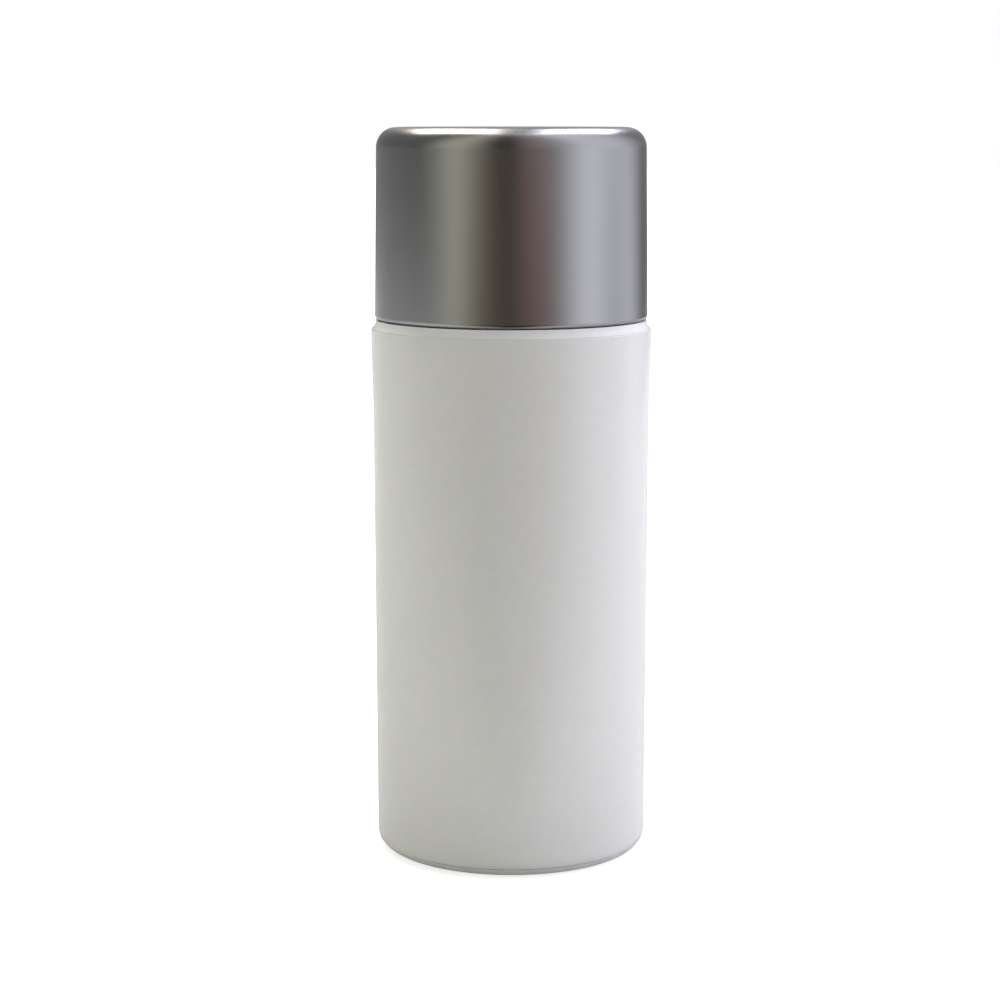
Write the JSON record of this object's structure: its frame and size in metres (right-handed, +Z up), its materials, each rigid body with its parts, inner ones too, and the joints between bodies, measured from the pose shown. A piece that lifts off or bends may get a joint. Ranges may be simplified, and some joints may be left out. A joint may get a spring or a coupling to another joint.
{
  "type": "foundation bottle",
  "caption": "Small round airless pump bottle: white double-walled body, follower piston, push-button pump and a pull-off cap in a satin metal shell.",
  "frame": {"origin": "centre of the base, on the surface that the bottle stands on", "axes": "+Z up along the bottle's axis; the nozzle points along -Y"},
  "size_m": [0.0355, 0.0354, 0.0922],
  "materials": {
    "satin_metal": "satin, fine bead-blasted and anodised",
    "liner_plastic": "plain moulded, white",
    "collar_plastic": "polished, white",
    "bottle_plastic": "polished, warm white",
    "base_plastic": "polished, warm white",
    "inner_plastic": "natural moulded, milky",
    "piston_plastic": "moulded, white",
    "pump_plastic": "natural moulded, milky",
    "core_plastic": "moulded, white",
    "button_plastic": "polished, white",
    "nozzle_plastic": "polished, white",
    "soft_seal": "soft, milky white",
    "steel": "bright drawn wire and polished ball"
  },
  "bodies": {
    "bottle": {"outer_bottle": "bottle_plastic", "inner_bottle": "inner_plastic", "base_cap": "base_plastic", "shoulder_collar": "collar_plastic", "lock_ring": "pump_plastic", "neck_gasket": "soft_seal", "pump_housing": "pump_plastic", "ball_cage": "pump_plastic", "stem_guide": "pump_plastic", "return_spring": "steel"},
    "cap": {"cap_shell": "satin_metal", "cap_liner": "liner_plastic"},
    "stem": {"pump_stem": "pump_plastic", "stem_poppet": "pump_plastic"},
    "head": {"actuator_core": "core_plastic", "actuator_shell": "button_plastic", "nozzle_tube": "nozzle_plastic", "nozzle_valve": "soft_seal"},
    "seal": {"stem_seal": "soft_seal"},
    "piston": {"follower_piston": "piston_plastic"},
    "inlet_valve": {"inlet_ball": "steel"}
  },
  "joints": [
    {"name": "cap_pull", "type": "slide", "parent": "bottle", "child": "cap", "axis": [0, 0, 1], "range_m": [0, 0.025]},
    {"name": "pump_press", "type": "slide", "parent": "bottle", "child": "stem", "axis": [0, 0, -1], "range_m": [0, 0.0045], "stiffness_N_per_m": 540, "springref_m": -0.006, "deforming": ["return_spring"]},
    {"name": "head_swivel", "type": "hinge", "parent": "stem", "child": "head", "pos_m": [0, 0, 0.08], "axis": [0, 0, 1], "continuous": true},
    {"name": "seal_play", "type": "slide", "parent": "stem", "child": "seal", "axis": [0, 0, 1], "range_m": [0, 0.0008]},
    {"name": "piston_rise", "type": "slide", "parent": "bottle", "child": "piston", "axis": [0, 0, 1], "range_m": [0, 0.0488]},
    {"name": "inlet_lift", "type": "slide", "parent": "bottle", "child": "inlet_valve", "axis": [0, 0, 1], "range_m": [0, 0.001]}
  ]
}
